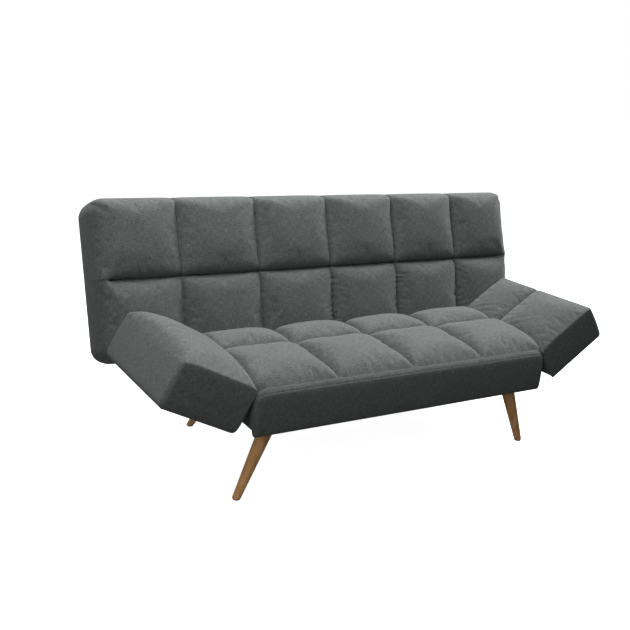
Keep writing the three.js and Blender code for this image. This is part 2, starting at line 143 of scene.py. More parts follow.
def roll_off(distance, radius):
    """1 at the edge, falling to 0 at radius from it along a quarter round."""
    t = np.clip(distance / radius, 0, 1)
    return 1 - np.sqrt(np.clip(1 - (1 - t) ** 2, 0, 1))


def edge_drop(a, b, low, high, edges):
    """How far the face falls near each edge. edges: (depth, radius) for a-, a+, b-, b+."""
    reaches = (a - low[0], high[0] - a, b - low[1], high[1] - b)
    total = 0
    for (depth, radius), reach in zip(edges, reaches):
        total = total + (depth * roll_off(reach, radius)) ** 3
    return total ** (1 / 3)


def puff(t, marks, sharpness=4.0, steepness=0.5, open_ends=(True, True)):
    """0 on every inner mark and 1 in the middle between; an open end stays at 1 to its edge."""
    out = np.ones_like(t)
    last = len(marks) - 2
    for i, (start, stop) in enumerate(zip(marks, marks[1:])):
        inside = (t >= start - 1e-9) & (t <= stop + 1e-9)
        u = (t - start) / (stop - start)
        value = np.clip(1 - np.abs(2 * u - 1) ** sharpness, 0, 1) ** steepness
        if i == 0 and open_ends[0]:
            value = np.where(u < 0.5, 1, value)
        if i == last and open_ends[1]:
            value = np.where(u > 0.5, 1, value)
        out = np.where(inside, np.minimum(out, value), out)
    return out


def border_loop(na, nb):
    """Indices (i, j) of a grid's border, once round."""
    loop = [(i, 0) for i in range(na)]
    loop += [(na - 1, j) for j in range(1, nb)]
    loop += [(i, nb - 1) for i in range(na - 2, -1, -1)]
    loop += [(0, j) for j in range(nb - 2, 0, -1)]
    return loop


def border_of(grid):
    border = np.zeros(grid.shape, bool)
    border[[0, -1], :] = True
    border[:, [0, -1]] = True
    return border


def grid_quads(index):
    return np.stack(
        [index[:-1, :-1], index[1:, :-1], index[1:, 1:], index[:-1, 1:]], -1
    ).reshape(-1, 4)


def inflate(face, pinned, slack):
    """Fills a padded face as cloth, held along its seams, and returns where it comes to rest."""
    na, nb, _ = face.shape
    start = face.reshape(-1, 3)
    mesh = bpy.data.meshes.new("cloth")
    quads = grid_quads(np.arange(na * nb).reshape(na, nb))
    mesh.from_pydata(start.tolist(), [], quads.tolist())
    cloth = bpy.data.objects.new("cloth", mesh)
    scene = bpy.context.scene
    scene.collection.objects.link(cloth)
    held = cloth.vertex_groups.new(name="held")
    held.add(np.flatnonzero(pinned.reshape(-1)).tolist(), 1.0, "REPLACE")
    modifier = cloth.modifiers.new("cloth", "CLOTH")
    settings = modifier.settings
    settings.quality = CLOTH_QUALITY
    settings.mass = CLOTH_MASS
    settings.tension_stiffness = CLOTH_STIFFNESS
    settings.compression_stiffness = CLOTH_STIFFNESS
    settings.shear_stiffness = CLOTH_STIFFNESS / 2
    settings.bending_stiffness = CLOTH_BENDING
    settings.use_pressure = True
    settings.uniform_pressure_force = CLOTH_PRESSURE
    settings.effector_weights.gravity = 0
    settings.vertex_group_mass = "held"
    settings.shrink_min = -slack
    modifier.collision_settings.use_collision = False
    modifier.point_cache.frame_start = 1
    modifier.point_cache.frame_end = CLOTH_FRAMES
    for step in range(1, CLOTH_FRAMES + 1):
        scene.frame_set(step)
    shown = cloth.evaluated_get(bpy.context.evaluated_depsgraph_get())
    end = np.zeros(len(start) * 3)
    shown.data.vertices.foreach_get("co", end)
    move = end.reshape(-1, 3) - start
    bpy.data.objects.remove(cloth)
    bpy.data.meshes.remove(mesh)
    scene.frame_set(1)
    length = np.maximum(np.linalg.norm(move, axis=1, keepdims=True), 1e-9)
    move *= np.minimum(1, CLOTH_CAP / length)
    return (start + move).reshape(na, nb, 3)


def resampled(points, count):
    """count points at even spacing along the line through the given ones."""
    points = np.array(points, float)
    gaps = np.linalg.norm(np.diff(points, axis=0), axis=1)
    at = np.concatenate([[0], np.cumsum(gaps)])
    wanted = np.linspace(0, at[-1], count)
    return np.stack([np.interp(wanted, at, points[:, k]) for k in range(points.shape[1])], -1)


def close_cushion(name, local, face, rings, under, seam, sharp_rings=(), border=0.0):
    """One closed mesh: the padded face, rings down the sides, and the underside.
    Its edges along a seam and along the sharp rings stay sharp when it is subdivided."""
    na, nb, _ = face.shape
    loop = border_loop(na, nb)
    front = np.arange(na * nb).reshape(na, nb)
    count = len(loop)
    first_ring = na * nb
    first_under = first_ring + len(rings) * count
    rear = first_under + np.arange(na * nb).reshape(na, nb)
    points = np.concatenate([face.reshape(-1, 3), *rings, under.reshape(-1, 3)])
    loops = [np.array([front[i, j] for i, j in loop])]
    loops += [first_ring + k * count + np.arange(count) for k in range(len(rings))]
    loops.append(np.array([rear[i, j] for i, j in loop]))
    faces = [grid_quads(front), grid_quads(rear)[:, ::-1]]
    for upper, lower in zip(loops, loops[1:]):
        faces.append(np.stack([upper, lower, np.roll(lower, -1), np.roll(upper, -1)], -1))
    mesh = bpy.data.meshes.new(name)
    mesh.from_pydata(local.to_world(points).tolist(), [], np.concatenate(faces).tolist())
    mesh.validate()
    sewn = np.zeros(len(points), bool)
    sewn[: na * nb] = seam.reshape(-1)
    ends = np.zeros(len(mesh.edges) * 2, np.int32)
    mesh.edges.foreach_get("vertices", ends)
    sharp = sewn[ends].reshape(-1, 2).all(1).astype(np.float32)
    for k, line in enumerate(loops[:-2]):
        on_line = np.zeros(len(points), bool)
        on_line[line] = True
        value = border if k == 0 else float(k - 1 in sharp_rings)
        sharp = np.maximum(sharp, value * on_line[ends].reshape(-1, 2).all(1))
    crease = mesh.attributes.new("crease_edge", "FLOAT", "EDGE")
    crease.data.foreach_set("value", sharp.astype(np.float32))
    piece = bpy.data.objects.new(name, mesh)
    bpy.context.scene.collection.objects.link(piece)
    return piece


def subdivide(piece):
    modifier = piece.modifiers.new("finer", "SUBSURF")
    modifier.levels = modifier.render_levels = 1
    shown = piece.evaluated_get(bpy.context.evaluated_depsgraph_get())
    mesh = bpy.data.meshes.new_from_object(shown)
    mesh.name = piece.name
    piece.modifiers.clear()
    piece.data = mesh


def read_points(piece):
    co = np.zeros(len(piece.data.vertices) * 3)
    piece.data.vertices.foreach_get("co", co)
    return co.reshape(-1, 3)


def write_points(piece, points):
    piece.data.vertices.foreach_set("co", np.asarray(points, float).reshape(-1))
    piece.data.update()


def read_normals(piece):
    normals = np.zeros(len(piece.data.vertices) * 3)
    piece.data.vertex_normals.foreach_get("vector", normals)
    return normals.reshape(-1, 3)


def store_vector(piece, name, values):
    attribute = piece.data.attributes.new(name, "FLOAT_VECTOR", "POINT")
    attribute.data.foreach_set("vector", np.asarray(values, np.float32).reshape(-1))


def mark_cloth(piece, local, shift=(0.0, 0.0, 0.0)):
    """Stores where each point lies on the cloth and which way it faces, for the weave."""
    store_vector(piece, "cloth_at", local.to_local(read_points(piece)) + np.array(shift))
    store_vector(piece, "cloth_faces", read_normals(piece) @ local.axes.T)


def smooth_shading(piece):
    piece.data.polygons.foreach_set("use_smooth", [True] * len(piece.data.polygons))


def waves(points, size, seed=0.0):
    """Smooth noise between -1 and 1 at each point, with lumps of about that size."""
    offset = Vector((seed * 7.3, seed * 3.1, seed * 5.7))
    return np.array([noise.noise(Vector(p) / size + offset) for p in points])


def ring_profile(face, specs, depth_end):
    """Rings down a cushion's sides. specs: one (t, outset) profile per edge a-, a+, b-, b+,
    t running from 0 at the face's border to 1 at depth_end."""
    na, nb, _ = face.shape
    loop = np.array([face[i, j] for i, j in border_loop(na, nb)])
    ahead = np.roll(loop[:, :2], -1, axis=0) - np.roll(loop[:, :2], 1, axis=0)
    normal = np.stack([ahead[:, 1], -ahead[:, 0]], -1)
    normal /= np.maximum(np.linalg.norm(normal, axis=1, keepdims=True), 1e-9)
    weights = np.stack(
        [
            np.clip(-normal[:, 0], 0, 1) ** 2,
            np.clip(normal[:, 0], 0, 1) ** 2,
            np.clip(-normal[:, 1], 0, 1) ** 2,
            np.clip(normal[:, 1], 0, 1) ** 2,
        ]
    )
    rings = []
    for k in range(1, len(specs[0])):
        t = sum(w * spec[k][0] for w, spec in zip(weights, specs))
        outset = sum(w * spec[k][1] for w, spec in zip(weights, specs))
        ring = np.empty_like(loop)
        ring[:, :2] = loop[:, :2] + normal * outset[:, None]
        ring[:, 2] = loop[:, 2] + (depth_end - loop[:, 2]) * t
        rings.append(ring)
    return rings


def flat_under(ring, na, nb, height):
    """A level underside whose border is the given ring, filled in straight across."""
    under = np.zeros((na, nb, 3))
    for (i, j), p in zip(border_loop(na, nb), ring):
        under[i, j] = p
    ta = np.linspace(0, 1, na)[:, None, None]
    tb = np.linspace(0, 1, nb)[None, :, None]
    across = under[:1] * (1 - ta) + under[-1:] * ta
    along = under[:, :1] * (1 - tb) + under[:, -1:] * tb
    corners = (
        under[:1, :1] * (1 - ta) * (1 - tb)
        + under[-1:, :1] * ta * (1 - tb)
        + under[:1, -1:] * (1 - ta) * tb
        + under[-1:, -1:] * ta * tb
    )
    filled = across + along - corners
    border = border_of(under[:, :, 0])
    under = np.where(border[:, :, None], under, filled)
    under[:, :, 2] = np.where(border, under[:, :, 2], height)
    return under


# ---------------------------------------------------------------------- sewing
def seam_lines(a, b, columns, rows):
    """Grid points on the inner marks."""
    seam = np.zeros(a.shape, bool)
    for mark in columns[1:-1]:
        seam |= np.abs(a - mark) < 1e-6
    for mark in rows[1:-1]:
        seam |= np.abs(b - mark) < 1e-6
    return seam


def lip(points, mark, reach, sag, out):
    """Lets the padding above a seam hang a little over it."""
    rise = points[..., 1] - mark
    share = np.clip(rise / reach, 0, 1)
    hang = np.where((rise > 0) & (rise < reach), np.sin(np.pi * share**0.6), 0)
    points[..., 1] -= sag * hang
    points[..., 2] += out * hang
    return points


def gathers(points, marks, span, depth, pitch, reach, seed):
    """Short puckers that run away from each seam mark, between two heights along it."""
    a, b = points[:, 0], points[:, 1]
    wander = waves(points, 0.07, seed) * 0.030
    envelope = np.clip((b - span[0]) / 0.03, 0, 1) * np.clip((span[1] - b) / 0.03, 0, 1)
    envelope *= np.clip(0.55 + 1.6 * waves(points, 0.05, seed + 3), 0, 1)
    total = np.zeros(len(points))
    for k, mark in enumerate(marks):
        away = np.abs(a - mark)
        side = np.sign(a - mark)
        phase = 2 * np.pi * (b + wander + 0.25 * away + 0.004 * side) / pitch + 1.9 * k
        strength = np.exp(-away / reach) * np.clip(away / 0.004, 0, 1)
        total += np.cos(phase) * strength * envelope
    return depth * total


def grooves(distance, depth):
    """A narrow valley along a line of stitches."""
    return -depth * np.exp(-distance / GROOVE_WIDTH)


def nearest(values, marks):
    return np.min([np.abs(values - mark) for mark in marks], axis=0)


def settle(piece, local, offsets):
    """Moves each point of a finished cushion along h by its offset."""
    points = local.to_local(read_points(piece))
    points[:, 2] += offsets(points)
    write_points(piece, local.to_world(points))


# ----------------------------------------------------------------------- back
BACK_COLUMN = 0.3037
BACK_VALLEY = 0.050  # the seam plane lies this far ahead of the pivot
BACK_ROW_SEAM = 0.2785  # up from the foot of the cushion
BACK_SEAM_STOP = 0.034  # the row seam stops this far short of the sides
BACK_CROWN = 0.026
BACK_CORNER = 0.046
BACK_EDGES = ((0.046, 0.050), (0.046, 0.050), (0.034, 0.036), (0.020, 0.026))
BACK_SIDE = [(0, 0), (0.03, 0.0022), (0.12, 0.0045), (0.3, 0.0070), (0.55, 0.0075),
             (0.8, 0.005), (0.92, 0.001), (0.985, -0.007), (1.0, -0.016)]
BACK_TOP = [(0, 0), (0.012, -0.0025), (0.03, 0.0010), (0.07, 0.0055), (0.2, 0.0098),
            (0.5, 0.011), (0.8, 0.008), (0.92, 0.003), (0.985, -0.006), (1.0, -0.016)]
ROW_PULL = 0.012  # the row seam is sewn deeper than the column seams
LOWER_LEAN = 0.018  # the lower row falls back this far towards the seat


def make_back():
    local = back_frame()
    low, high = local.box("back_pad", "back_rear_panel")
    plane, rear = BACK_VALLEY, low[2]
    lo = (low[0] - 0.002, low[1] + 0.004)
    hi = (high[0] - 0.010, high[1] - 0.010)
    columns = [lo[0]] + [k * BACK_COLUMN for k in (-2, -1, 0, 1, 2)] + [hi[0]]
    rows = [lo[1], low[1] + BACK_ROW_SEAM, hi[1]]
    a, b = np.meshgrid(spaced(columns), spaced(rows), indexing="ij")
    from_side = np.minimum(a - lo[0], hi[0] - a)
    seam = seam_lines(a, b, columns, rows)
    on_row = np.abs(b - rows[1]) < 1e-6
    seam &= ~(on_row & (from_side < BACK_SEAM_STOP))
    fade = np.clip(from_side / BACK_SEAM_STOP - 0.6, 0, 1)
    is_lower = b < rows[1]
    rows_puff = np.where(is_lower, puff(b, rows, 7.0, 0.45), puff(b, rows))
    rows_puff = 1 - (1 - rows_puff) * fade
    pull = ROW_PULL * np.exp(-np.abs(b - rows[1]) / 0.020) * fade
    crown = BACK_CROWN * puff(a, columns) * rows_puff
    fall = LOWER_LEAN * np.clip((rows[1] - b) / (rows[1] - rows[0]), 0, 1)
    height = plane + crown - pull - fall - edge_drop(a, b, lo, hi, BACK_EDGES)
    ra, rb = round_corners(a, b, lo, hi, BACK_CORNER)
    face = inflate(np.stack([ra, rb, height], -1), seam | border_of(a), slack=0.012)
    face = lip(face, rows[1], 0.055, 0.008, 0.003)
    side, top = resampled(BACK_SIDE, SIDE_RINGS), resampled(BACK_TOP, SIDE_RINGS)
    rings = ring_profile(face, (side, side, side, top), rear)
    under = flat_under(rings[-1], *face.shape[:2], rear - 0.001)
    piece = close_cushion("back_cushion", local, face, rings[:-1], under, seam,
                          sharp_rings=(SIDE_RINGS - 4,))
    subdivide(piece)
    puckered = columns[3:-1]

    def sewing(p):
        from_side = np.minimum(p[:, 0] - lo[0], hi[0] - p[:, 0])
        inside = np.clip((from_side - BACK_SEAM_STOP) / 0.01, 0, 1)
        drawn = grooves(nearest(p[:, 0], columns[1:-1]), 0.0085)
        drawn += grooves(np.abs(p[:, 1] - rows[1]), 0.010) * inside
        lower, upper = (rows[0] + 0.05, rows[1] - 0.02), (rows[1] + 0.01, rows[1] + 0.1)
        drawn += gathers(p, puckered, lower, 0.0060, 0.026, 0.018, 1.0)
        drawn += gathers(p, columns[1:-1], upper, 0.0012, 0.03, 0.02, 2.0)
        return np.where(p[:, 2] > 0.02, drawn + 0.0016 * waves(p, 0.11, 3.0), 0)

    settle(piece, local, sewing)
    mark_cloth(piece, local)
    smooth_shading(piece)
    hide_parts("back_pad", "back_rear_panel")
    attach(piece, "back")
    return piece


# ----------------------------------------------------------------------- seat
SEAT_COLUMN = 0.300
SEAT_ROW_SEAM = 0.289  # behind the front face
SEAT_SEAM_HEIGHT = 0.389
SEAT_CROWN = 0.030
SEAT_BAND = 0.014  # the stitched band along the front edge
SEAT_EDGES = ((0.034, 0.045), (0.034, 0.045), (0.0, 0.01), (0.045, 0.05))
SEAT_CORNER = 0.006
SEAT_SIDE = [(0, 0), (0.04, 0.001), (0.2, 0.002), (0.5, 0.002), (0.70, 0.000),
             (0.84, -0.007), (0.95, -0.018), (1.0, -0.030)]
SEAT_RIGHT_SIDE = [(0, 0), (0.04, 0.001), (0.2, 0.002), (0.5, 0.003), (0.70, 0.003),
                   (0.84, 0.001), (0.95, -0.009), (1.0, -0.024)]
SEAT_FRONT = [(0, 0), (0.006, 0.0006), (0.016, 0.0030), (0.040, 0.0070), (0.070, 0.0105),
              (0.088, 0.0120), (0.094, 0.0118), (0.104, 0.0142), (0.14, 0.0162), (0.2, 0.0175),
              (0.3, 0.0185), (0.42, 0.0190), (0.54, 0.0190), (0.66, 0.0188), (0.77, 0.0182),
              (0.87, 0.0172), (0.94, 0.0155), (0.975, 0.0115), (0.994, 0.0040), (1.0, -0.008)]
SEAT_BAND_RING = 4  # the ring down the front where the band is stitched


def make_seat():
    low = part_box("seat_front_border")[0]
    pad_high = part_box("seat_pad")[1]
    cover_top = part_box("seat_dust_cover")[1][2]
    bottom = low[2] - 0.007
    lo = (low[0] - 0.001, low[1] + SEAT_BAND)
    hi = (-low[0] + 0.005, pad_high[1] - 0.002)
    columns = [lo[0], -SEAT_COLUMN, 0, SEAT_COLUMN, hi[0]]
    rows = [lo[1], low[1] + SEAT_ROW_SEAM, hi[1]]
    a, b = np.meshgrid(spaced(columns), spaced(rows), indexing="ij")
    seam = seam_lines(a, b, columns, rows)

    def lean(a, b):
        """The column seams run a little aslant, as they were sewn."""
        t = np.clip((b - lo[1]) / (rows[1] - lo[1]), 0, 1)
        return (0.010 - 0.019 * t) * (1 - (a / hi[0]) ** 4)

    t = np.clip((b - lo[1]) / (rows[1] - lo[1]), 0, 1)
    valley = SEAT_SEAM_HEIGHT + 0.006 + 0.026 * (1 - (1 - t) ** 1.8)
    back_t = np.clip((b - rows[1]) / (hi[1] - rows[1]), 0, 1)
    valley -= 0.010 * back_t**1.5
    crown = SEAT_CROWN * puff(a, columns) * puff(b, rows, open_ends=(False, True))
    height = valley + crown - edge_drop(a, b, lo, hi, SEAT_EDGES)
    ra, rb = round_corners(a, b, lo, hi, SEAT_CORNER)
    ra += lean(a, b)
    face = inflate(np.stack([ra, rb, height], -1), seam | border_of(a), slack=0.014)
    side, right_side = (resampled(p, len(SEAT_FRONT)) for p in (SEAT_SIDE, SEAT_RIGHT_SIDE))
    rings = ring_profile(face, (side, right_side, SEAT_FRONT, side), bottom)
    under = flat_under(rings[-1], *face.shape[:2], cover_top + 0.002)
    piece = close_cushion("seat_cushion", WORLD, face, rings[:-1], under, seam,
                          sharp_rings=(SEAT_BAND_RING,), border=1.0)
    subdivide(piece)

    def sewing(p):
        inside = np.clip((p[:, 1] - lo[1]) / 0.006, 0, 1)
        straight = p.copy()
        straight[:, 0] -= lean(p[:, 0], p[:, 1])
        drawn = grooves(nearest(straight[:, 0], columns[1:-1]), 0.0080)
        drawn += grooves(np.abs(p[:, 1] - rows[1]), 0.0050)
        span = (rows[0] + 0.01, rows[0] + 0.09)
        drawn += gathers(straight, columns[1:-1], span, 0.0018, 0.024, 0.02, 5.0)
        upper = p[:, 2] > SEAT_SEAM_HEIGHT - 0.004
        return np.where(upper, drawn * inside + 0.0018 * waves(p, 0.10, 4.0), 0)

    settle(piece, WORLD, sewing)
    mark_cloth(piece, WORLD, shift=(0.3, 0.1, 0.2))
    smooth_shading(piece)
    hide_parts("seat_pad", "seat_front_border", "seat_rear_border",
                "seat_left_border", "seat_right_border")
    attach(piece, "base")
    return piece


# ------------------------------------------------------------------ dust cover
DUST_COVER_SLACK = 0.006  # how far the cover sags in the middle of a bay
DUST_COVER_THICKNESS = 0.0009


def make_dust_cover():
    """Black felt stapled under the seat frame, a little slack between the bearers."""
    low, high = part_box("seat_dust_cover")
    a, b = np.meshgrid(spaced((low[0], high[0])), spaced((low[1], high[1])), indexing="ij")
    (left_start, *_), (left_end, *_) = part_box("bearer_left")
    (right_start, *_), (right_end, *_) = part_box("bearer_right")
    sag = np.zeros(a.shape)
    for bay in ((low[0], left_start), (left_end, right_start), (right_end, high[0])):
        u = np.clip((a - bay[0]) / (bay[1] - bay[0]), 0, 1)
        sag = np.maximum(sag, np.sin(np.pi * u))
    sag *= np.sin(np.pi * (b - low[1]) / (high[1] - low[1]))
    flat_points = np.stack([a, b, np.zeros(a.shape)], -1).reshape(-1, 3)
    ripple = 0.5 + 0.5 * waves(flat_points, 0.06, 9.0).reshape(a.shape)
    height = high[2] - DUST_COVER_SLACK * sag * (0.7 + 0.3 * ripple)
    top = np.stack([a, b, height], -1)
    under = np.stack([a, b, height - DUST_COVER_THICKNESS], -1)
    piece = close_cushion("dust_cover_cloth", WORLD, top, [], under, np.zeros(a.shape, bool))
    smooth_shading(piece)
    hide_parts("seat_dust_cover")
    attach(piece, "base")
    return piece


# ----------------------------------------------------------------------- arms
ARM_TOP = 0.024  # the right arm's seamed edges stand this high above the pivot
LEFT_ARM_TOP = 0.030
LEFT_ARM_LIFT = 0.012
ARM_CORNER = 0.008
ARM_CROWN = 0.015  # of the quilted arm
PLUMP_CROWN = 0.038  # of the arm without a seam
ARM_PLAIN = [(0, 0), (0.03, 0.0012), (0.15, 0.0030), (0.5, 0.0045), (0.85, 0.0035),
             (0.94, 0.0015), (0.985, -0.003), (1.0, -0.010)]
ARM_OUTWARD = [(0, 0), (0.03, 0.0012), (0.15, 0.0040), (0.5, 0.0080), (0.85, 0.0085),
               (0.94, 0.0060), (0.985, 0.001), (1.0, -0.006)]
ARM_INWARD = [(0, 0), (0.03, 0.0005), (0.15, 0.001), (0.5, 0.001), (0.78, 0.0),
              (0.90, -0.006), (0.97, -0.015), (1.0, -0.026)]


def arm_creases(points, inner, side, depth):
    """A few slanting wrinkles that fan out from the hinge line."""
    away = (points[:, 0] - inner) * side
    slant = points[:, 1] + 1.5 * away + 0.030 * waves(points, 0.10, 6.0)
    strength = np.clip(away / 0.02, 0, 1) * np.exp(-(np.clip(away - 0.03, 0, None) / 0.06) ** 2)
    patch = np.clip(0.35 + 2.0 * waves(points, 0.10, 8.0), 0, 1)
    fold = np.cos(2 * np.pi * slant / 0.060)
    return depth * (np.sign(fold) * np.abs(fold) ** 1.5) * strength * patch


def make_arm(word, side):
    local = arm_frame(word, side)
    low, high = local.box(f"arm_{word}_pad", f"arm_{word}_board")
    lo = (low[0], low[1])
    hi = (high[0], high[1] + 0.014)
    bottom = low[2] - 0.004
    inner = lo[0] if side > 0 else hi[0]
    seam_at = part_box("seat_front_border")[0][1] + SEAT_ROW_SEAM - local.origin[1]
    quilted = side > 0  # the left arm's top is stuffed tight and shows no seam
    columns = [lo[0], hi[0]]
    rows = [lo[1], seam_at, hi[1]]
    a, b = np.meshgrid(spaced(columns), spaced(rows), indexing="ij")
    seam = seam_lines(a, b, columns, rows) & quilted
    inner_edge = (0.010, 0.024) if quilted else (0.004, 0.018)
    outer_edge = (0.0, 0.01) if quilted else (0.006, 0.020)
    ends = (0.0, 0.01), (0.0, 0.01)
    edges = (inner_edge, outer_edge, *ends) if side > 0 else (outer_edge, inner_edge, *ends)
    across = np.abs(a - (lo[0] + hi[0]) / 2) / ((hi[0] - lo[0]) / 2)
    bow = 0.006 * (1 - across**2.5)
    marks = rows if quilted else [rows[0], rows[-1]]
    rows_puff = puff(b, marks, sharpness=2.6, steepness=0.7, open_ends=(False, False))
    fullness = np.clip(1 - across ** (5 if quilted else 8), 0, 1) ** 0.6
    crown = (ARM_CROWN if quilted else PLUMP_CROWN) * rows_puff * fullness
    top = ARM_TOP if quilted else LEFT_ARM_TOP
    height = top + bow + crown - edge_drop(a, b, lo, hi, edges)
    if not quilted:  # its outer rear corner stands a little proud
        outward = np.abs(a - inner) / (hi[0] - lo[0])
        height += LEFT_ARM_LIFT * outward * (b - lo[1]) / (hi[1] - lo[1])
    ra, rb = round_corners(a, b, lo, hi, ARM_CORNER)
    face = inflate(np.stack([ra, rb, height], -1), seam | border_of(a), slack=0.014)
    profiles = ARM_PLAIN, ARM_OUTWARD, ARM_INWARD
    plain, outward, inward = (resampled(p, SIDE_RINGS) for p in profiles)
    sides = (inward, outward) if side > 0 else (outward, inward)
    rings = ring_profile(face, (*sides, plain, outward), bottom)
    under = flat_under(rings[-1], *face.shape[:2], bottom)
    piece = close_cushion(f"arm_{word}_cushion", local, face, rings[:-1], under, seam,
                          border=0.8 if quilted else 0.45)
    subdivide(piece)

    def sewing(p):
        drawn = arm_creases(p, inner, side, 0.0024 if quilted else 0.0014)
        if quilted:
            drawn += grooves(np.abs(p[:, 1] - seam_at), 0.007)
        return np.where(p[:, 2] > 0.012, drawn + 0.0018 * waves(p, 0.09, 7.0), 0)

    settle(piece, local, sewing)
    mark_cloth(piece, local, shift=(0.7 * side, 0.4, 0.5))
    smooth_shading(piece)
    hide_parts(f"arm_{word}_pad")
    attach(piece, f"arm_{word}")
    return piece


# ------------------------------------------------------------------- materials
class Nodes:
    """A short way to write shader nodes."""

    def __init__(self, name):
        self.material = bpy.data.materials.new(name)
        self.material.use_nodes = True
        self.tree = self.material.node_tree
        self.shader = self.tree.nodes["Principled BSDF"]

    def add(self, kind, **settings):
        node = self.tree.nodes.new(kind)
        for key, value in settings.items():
            setattr(node, key, value)
        return node

    def link(self, source, target):
        self.tree.links.new(source, target)

    def math(self, operation, first, second=None):
        node = self.add("ShaderNodeMath", operation=operation)
        for socket, value in zip(node.inputs, (first, second)):
            if value is None:
                continue
            if isinstance(value, (int, float)):
                socket.default_value = value
            else:
                self.link(value, socket)
        return node.outputs[0]

    def noise(self, vector, scale, detail=2.0, rough=0.5):
        node = self.add("ShaderNodeTexNoise")
        node.inputs["Scale"].default_value = scale
        node.inputs["Detail"].default_value = detail
        node.inputs["Roughness"].default_value = rough
        self.link(vector, node.inputs["Vector"])
        return node.outputs["Fac"]

    def ramp(self, factor, *stops):
        node = self.add("ShaderNodeValToRGB")
        elements = node.color_ramp.elements
        while len(elements) < len(stops):
            elements.new(0.5)
        for element, (place, color) in zip(elements, stops):
            element.position = place
            element.color = (*color, 1.0)
        self.link(factor, node.inputs["Fac"])
        return node.outputs["Color"]

    def bump(self, height, strength, distance):
        node = self.add("ShaderNodeBump")
        node.inputs["Strength"].default_value = strength
        node.inputs["Distance"].default_value = distance
        self.link(height, node.inputs["Height"])
        self.link(node.outputs["Normal"], self.shader.inputs["Normal"])


def fabric_material():
    """A heathered plain weave, drawn along the cloth's own directions."""
    n = Nodes("heathered_weave")
    at = n.add("ShaderNodeAttribute", attribute_name="cloth_at")
    facing = n.add("ShaderNodeAttribute", attribute_name="cloth_faces")
    split_at = n.add("ShaderNodeSeparateXYZ")
    n.link(at.outputs["Vector"], split_at.inputs[0])
    split_face = n.add("ShaderNodeSeparateXYZ")
    n.link(facing.outputs["Vector"], split_face.inputs[0])
    across, along, out = (n.math("ABSOLUTE", s) for s in split_face.outputs)
    # on a side that faces a the cloth runs along b and h, and so on
    faces_a = n.math("GREATER_THAN", across, 0.72)
    faces_b = n.math("GREATER_THAN", along, 0.72)
    a, b, h = split_at.outputs
    not_a = n.math("SUBTRACT", 1.0, faces_a)
    not_b = n.math("SUBTRACT", 1.0, faces_b)
    u = n.math("ADD", n.math("MULTIPLY", a, not_a), n.math("MULTIPLY", h, faces_a))
    v = n.math("ADD", n.math("MULTIPLY", b, not_b), n.math("MULTIPLY", h, faces_b))

    def stretched(ku, kv, scale, detail=2.0):
        combined = n.add("ShaderNodeCombineXYZ")
        n.link(n.math("MULTIPLY", u, ku), combined.inputs[0])
        n.link(n.math("MULTIPLY", v, kv), combined.inputs[1])
        return n.noise(combined.outputs[0], scale, detail)

    warp_slub = stretched(1.0, 0.09, 560.0)
    weft_slub = stretched(0.09, 1.0, 560.0)
    blotch = stretched(1.0, 1.0, 9.0, 3.0)
    thread = 2 * math.pi / 0.0016
    warp = n.math("SINE", n.math("MULTIPLY", u, thread))
    weft = n.math("SINE", n.math("MULTIPLY", v, thread))
    weave = n.math("MULTIPLY", warp, weft)
    slubs = n.math("ADD", n.math("MULTIPLY", warp_slub, 0.5), n.math("MULTIPLY", weft_slub, 0.5))
    tone = n.math("ADD", n.math("MULTIPLY", slubs, 0.93), n.math("MULTIPLY", blotch, 0.07))
    tone = n.math("ADD", tone, n.math("MULTIPLY", weave, 0.012))
    color = n.ramp(
        tone,
        (0.36, (0.058, 0.063, 0.062)),
        (0.50, (0.104, 0.111, 0.109)),
        (0.64, (0.162, 0.172, 0.169)),
    )
    n.link(color, n.shader.inputs["Base Color"])
    n.shader.inputs["Roughness"].default_value = 0.92
    n.shader.inputs["Specular IOR Level"].default_value = 0.25
    n.shader.inputs["Sheen Weight"].default_value = 0.18
    n.shader.inputs["Sheen Roughness"].default_value = 0.5
    relief = n.math("ADD", n.math("MULTIPLY", slubs, 0.7), n.math("MULTIPLY", weave, 0.15))
    n.bump(relief, 0.35, 0.0012)
    return n.material


def wood_material(name, dark, middle, light, grain_axis, rough):
    n = Nodes(name)
    coordinates = n.add("ShaderNodeTexCoord")
    mapping = n.add("ShaderNodeMapping")
    stretch = [46.0] * 3
    stretch[grain_axis] = 3.2
    mapping.inputs["Scale"].default_value = stretch
    n.link(coordinates.outputs["Object"], mapping.inputs["Vector"])
    grain = n.noise(mapping.outputs["Vector"], 1.0, 5.0, 0.6)
    fine_map = n.add("ShaderNodeMapping")
    fine_stretch = [420.0] * 3
    fine_stretch[grain_axis] = 14.0
    fine_map.inputs["Scale"].default_value = fine_stretch
    n.link(coordinates.outputs["Object"], fine_map.inputs["Vector"])
    pores = n.noise(fine_map.outputs["Vector"], 1.0, 2.0)
    mixed = n.math("ADD", n.math("MULTIPLY", grain, 0.75), n.math("MULTIPLY", pores, 0.25))
    color = n.ramp(mixed, (0.33, dark), (0.5, middle), (0.68, light))
    n.link(color, n.shader.inputs["Base Color"])
    n.shader.inputs["Roughness"].default_value = rough
    n.bump(pores, 0.12, 0.0006)
    return n.material


def metal_material(name, low, high, rough, metallic):
    n = Nodes(name)
    coordinates = n.add("ShaderNodeTexCoord")
    speckle = n.noise(coordinates.outputs["Object"], 260.0, 3.0)
    color = n.ramp(speckle, (0.35, low), (0.65, high))
    n.link(color, n.shader.inputs["Base Color"])
    wear = n.noise(coordinates.outputs["Object"], 35.0, 4.0)
    roughness = n.math("ADD", n.math("MULTIPLY", wear, 0.2), rough - 0.1)
    n.link(roughness, n.shader.inputs["Roughness"])
    n.shader.inputs["Metallic"].default_value = metallic
    n.bump(speckle, 0.1, 0.0004)
    return n.material


